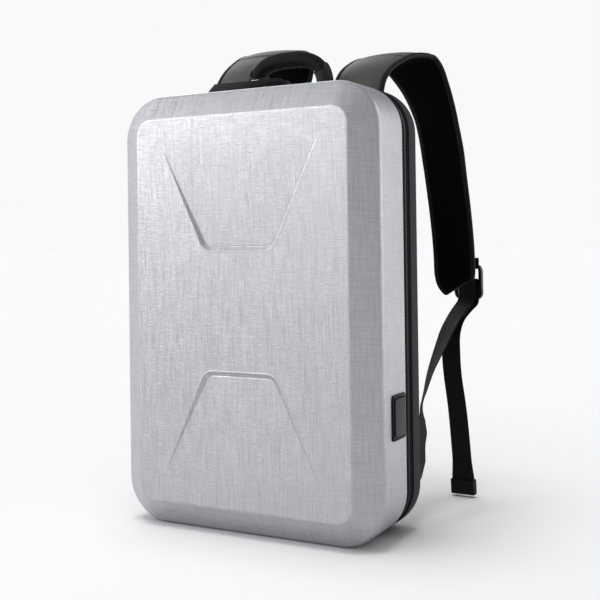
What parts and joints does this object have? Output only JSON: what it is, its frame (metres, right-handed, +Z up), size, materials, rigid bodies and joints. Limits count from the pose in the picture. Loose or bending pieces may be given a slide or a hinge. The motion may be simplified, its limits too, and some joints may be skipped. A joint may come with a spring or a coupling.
{
  "type": "hard shell backpack",
  "caption": "Hard shell backpack with a faceted silver front, a black rear half, padded shoulder straps, a carry handle, a charging port and a combination lock on top.",
  "frame": {"origin": "middle of the flat bottom that the case stands on, half way between the front panel and the rear face", "axes": "+X to the wearer's right, which is the side with the charging port, +Y from the silver front towards the shoulder straps, +Z up"},
  "size_m": [0.3244, 0.2974, 0.5433],
  "materials": {
    "silver_shell": "satin",
    "zip_cloth": "matte",
    "zip_teeth": "satin",
    "rear_cloth": "matte",
    "pad_cloth": "matte",
    "black_gloss": "gloss",
    "port_rubber": "satin",
    "bright_metal": "polished",
    "grip_cloth": "matte",
    "webbing": "matte",
    "strap_cloth": "matte",
    "adjuster_plastic": "gloss"
  },
  "bodies": {
    "case": {"front_shell": "silver_shell", "zip_tape_front": "zip_cloth", "zip_tape_rear": "zip_cloth", "zip_chain": "zip_teeth", "bottom_hinge": "zip_cloth", "back_shell": "rear_cloth", "back_pad": "pad_cloth", "port_frame": "black_gloss", "port_cover": "port_rubber", "lock_body": "black_gloss", "zip_slider_left": "bright_metal", "zip_slider_right": "bright_metal", "zip_pull_left": "bright_metal", "zip_pull_right": "bright_metal", "handle_grip": "grip_cloth", "handle_foot_left": "webbing", "handle_foot_right": "webbing", "shoulder_strap_left": "strap_cloth", "shoulder_strap_right": "strap_cloth", "adjuster_loop_left": "webbing", "adjuster_loop_right": "webbing", "adjuster_left": "adjuster_plastic", "adjuster_right": "adjuster_plastic", "webbing_left": "webbing", "webbing_right": "webbing", "lower_tab_left": "strap_cloth", "lower_tab_right": "strap_cloth"},
    "dial_1": {"lock_dial_1": "bright_metal"},
    "dial_2": {"lock_dial_2": "bright_metal"},
    "dial_3": {"lock_dial_3": "bright_metal"},
    "release": {"lock_release": "bright_metal"}
  },
  "joints": [
    {"name": "dial_1_turn", "type": "hinge", "parent": "case", "child": "dial_1", "pos_m": [-0.035, 0.0009, 0.4683], "axis": [1, 0, 0], "continuous": true},
    {"name": "dial_2_turn", "type": "hinge", "parent": "case", "child": "dial_2", "pos_m": [-0.027, 0.0009, 0.4683], "axis": [1, 0, 0], "continuous": true},
    {"name": "dial_3_turn", "type": "hinge", "parent": "case", "child": "dial_3", "pos_m": [-0.019, 0.0009, 0.4683], "axis": [1, 0, 0], "continuous": true},
    {"name": "release_slide", "type": "slide", "parent": "case", "child": "release", "axis": [1, 0, 0], "range_m": [0, 0.004], "stiffness_N_per_m": 200}
  ]
}
